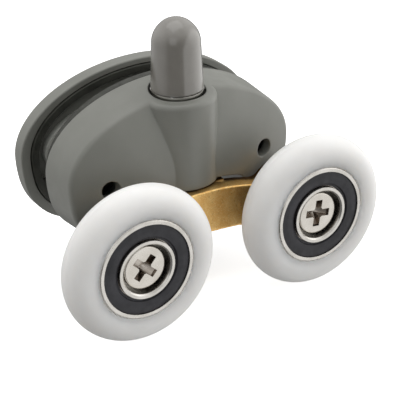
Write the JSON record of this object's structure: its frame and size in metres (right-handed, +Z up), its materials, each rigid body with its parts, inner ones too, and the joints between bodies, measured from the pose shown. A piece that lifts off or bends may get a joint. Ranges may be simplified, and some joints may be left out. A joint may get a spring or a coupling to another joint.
{
  "type": "sliding door roller",
  "caption": "Push-button sprung roller for a sliding glass shower door: a clamp body and rear cover grip the glass, and a brass arm carries crowned wheels on ball bearings.",
  "frame": {"origin": "middle of the front gasket's clamp face, on the line joining the two clamp screws", "axes": "+X along the door's travel, +Y through the glass from the wheel side to the rear cover, +Z up"},
  "size_m": [0.0564, 0.0342, 0.0434],
  "materials": {
    "housing_grey": "satin moulded grey plastic with a fine grain",
    "button_grey": "smooth satin grey plastic",
    "gasket_rubber": "matt dark grey rubber",
    "zinc_plate": "zinc-plated pressed steel",
    "insert_brass": "knurled turned brass",
    "sleeve_plastic": "natural polyethylene",
    "acetal_black": "black acetal",
    "zinc_steel": "zinc-plated steel",
    "spring_steel": "drawn spring wire",
    "shaft_chrome": "polished chrome plate",
    "cast_brass": "sand-cast brass, rough and tumbled",
    "spacer_steel": "turned nickel-plated steel",
    "nickel_screw": "nickel-plated steel",
    "bearing_steel": "ground bearing steel",
    "ball_steel": "polished bearing steel",
    "cage_steel": "pressed steel",
    "seal_rubber": "black nitrile rubber",
    "wheel_white": "white acetal, smooth"
  },
  "bodies": {
    "housing": {"housing_shell": "housing_grey", "guide_bush": "acetal_black", "front_gasket": "gasket_rubber", "rear_gasket": "gasket_rubber", "rear_cover": "housing_grey", "screw_plate_left": "zinc_plate", "screw_plate_right": "zinc_plate", "cover_insert_left": "insert_brass", "cover_insert_right": "insert_brass", "glass_sleeve_left": "sleeve_plastic", "glass_sleeve_right": "sleeve_plastic", "clamp_screw_left": "zinc_steel", "clamp_screw_right": "zinc_steel", "return_spring": "spring_steel"},
    "plunger": {"push_button": "button_grey", "plunger_shaft": "shaft_chrome", "arm_washer": "zinc_steel", "arm_screw": "zinc_steel"},
    "arm": {"roller_arm": "cast_brass", "wheel_spacer_left": "spacer_steel", "wheel_spacer_right": "spacer_steel", "wheel_screw_left": "nickel_screw", "wheel_screw_right": "nickel_screw", "bearing_inner_ring_left": "bearing_steel", "bearing_inner_ring_right": "bearing_steel"},
    "left_wheel": {"wheel_left": "wheel_white", "bearing_outer_ring_left": "bearing_steel", "bearing_seal_front_left": "seal_rubber", "bearing_seal_rear_left": "seal_rubber"},
    "left_ball_train": {"bearing_balls_left": "ball_steel", "bearing_cage_left": "cage_steel"},
    "right_wheel": {"wheel_right": "wheel_white", "bearing_outer_ring_right": "bearing_steel", "bearing_seal_front_right": "seal_rubber", "bearing_seal_rear_right": "seal_rubber"},
    "right_ball_train": {"bearing_balls_right": "ball_steel", "bearing_cage_right": "cage_steel"}
  },
  "joints": [
    {"name": "plunger_slide", "type": "slide", "parent": "housing", "child": "plunger", "axis": [0, 0, -1], "range_m": [0, 0.008], "stiffness_N_per_m": 700, "springref_m": -0.006, "deforming": ["return_spring"]},
    {"name": "arm_swivel", "type": "hinge", "parent": "plunger", "child": "arm", "pos_m": [0, -0.00755, -0.005], "axis": [0, 0, 1], "range_deg": [-2.5, 2.5]},
    {"name": "left_wheel_spin", "type": "hinge", "parent": "arm", "child": "left_wheel", "pos_m": [-0.0157, -0.0217, -0.007], "axis": [0, 1, 0], "continuous": true},
    {"name": "left_ball_train_spin", "type": "hinge", "parent": "arm", "child": "left_ball_train", "pos_m": [-0.0157, -0.0217, -0.007], "axis": [0, 1, 0], "continuous": true},
    {"name": "right_wheel_spin", "type": "hinge", "parent": "arm", "child": "right_wheel", "pos_m": [0.0157, -0.0217, -0.007], "axis": [0, 1, 0], "continuous": true},
    {"name": "right_ball_train_spin", "type": "hinge", "parent": "arm", "child": "right_ball_train", "pos_m": [0.0157, -0.0217, -0.007], "axis": [0, 1, 0], "continuous": true}
  ],
  "couplings": [
    {"joint": "left_ball_train_spin", "follows": "left_wheel_spin", "ratio": 0.58333},
    {"joint": "right_ball_train_spin", "follows": "right_wheel_spin", "ratio": 0.58333}
  ]
}
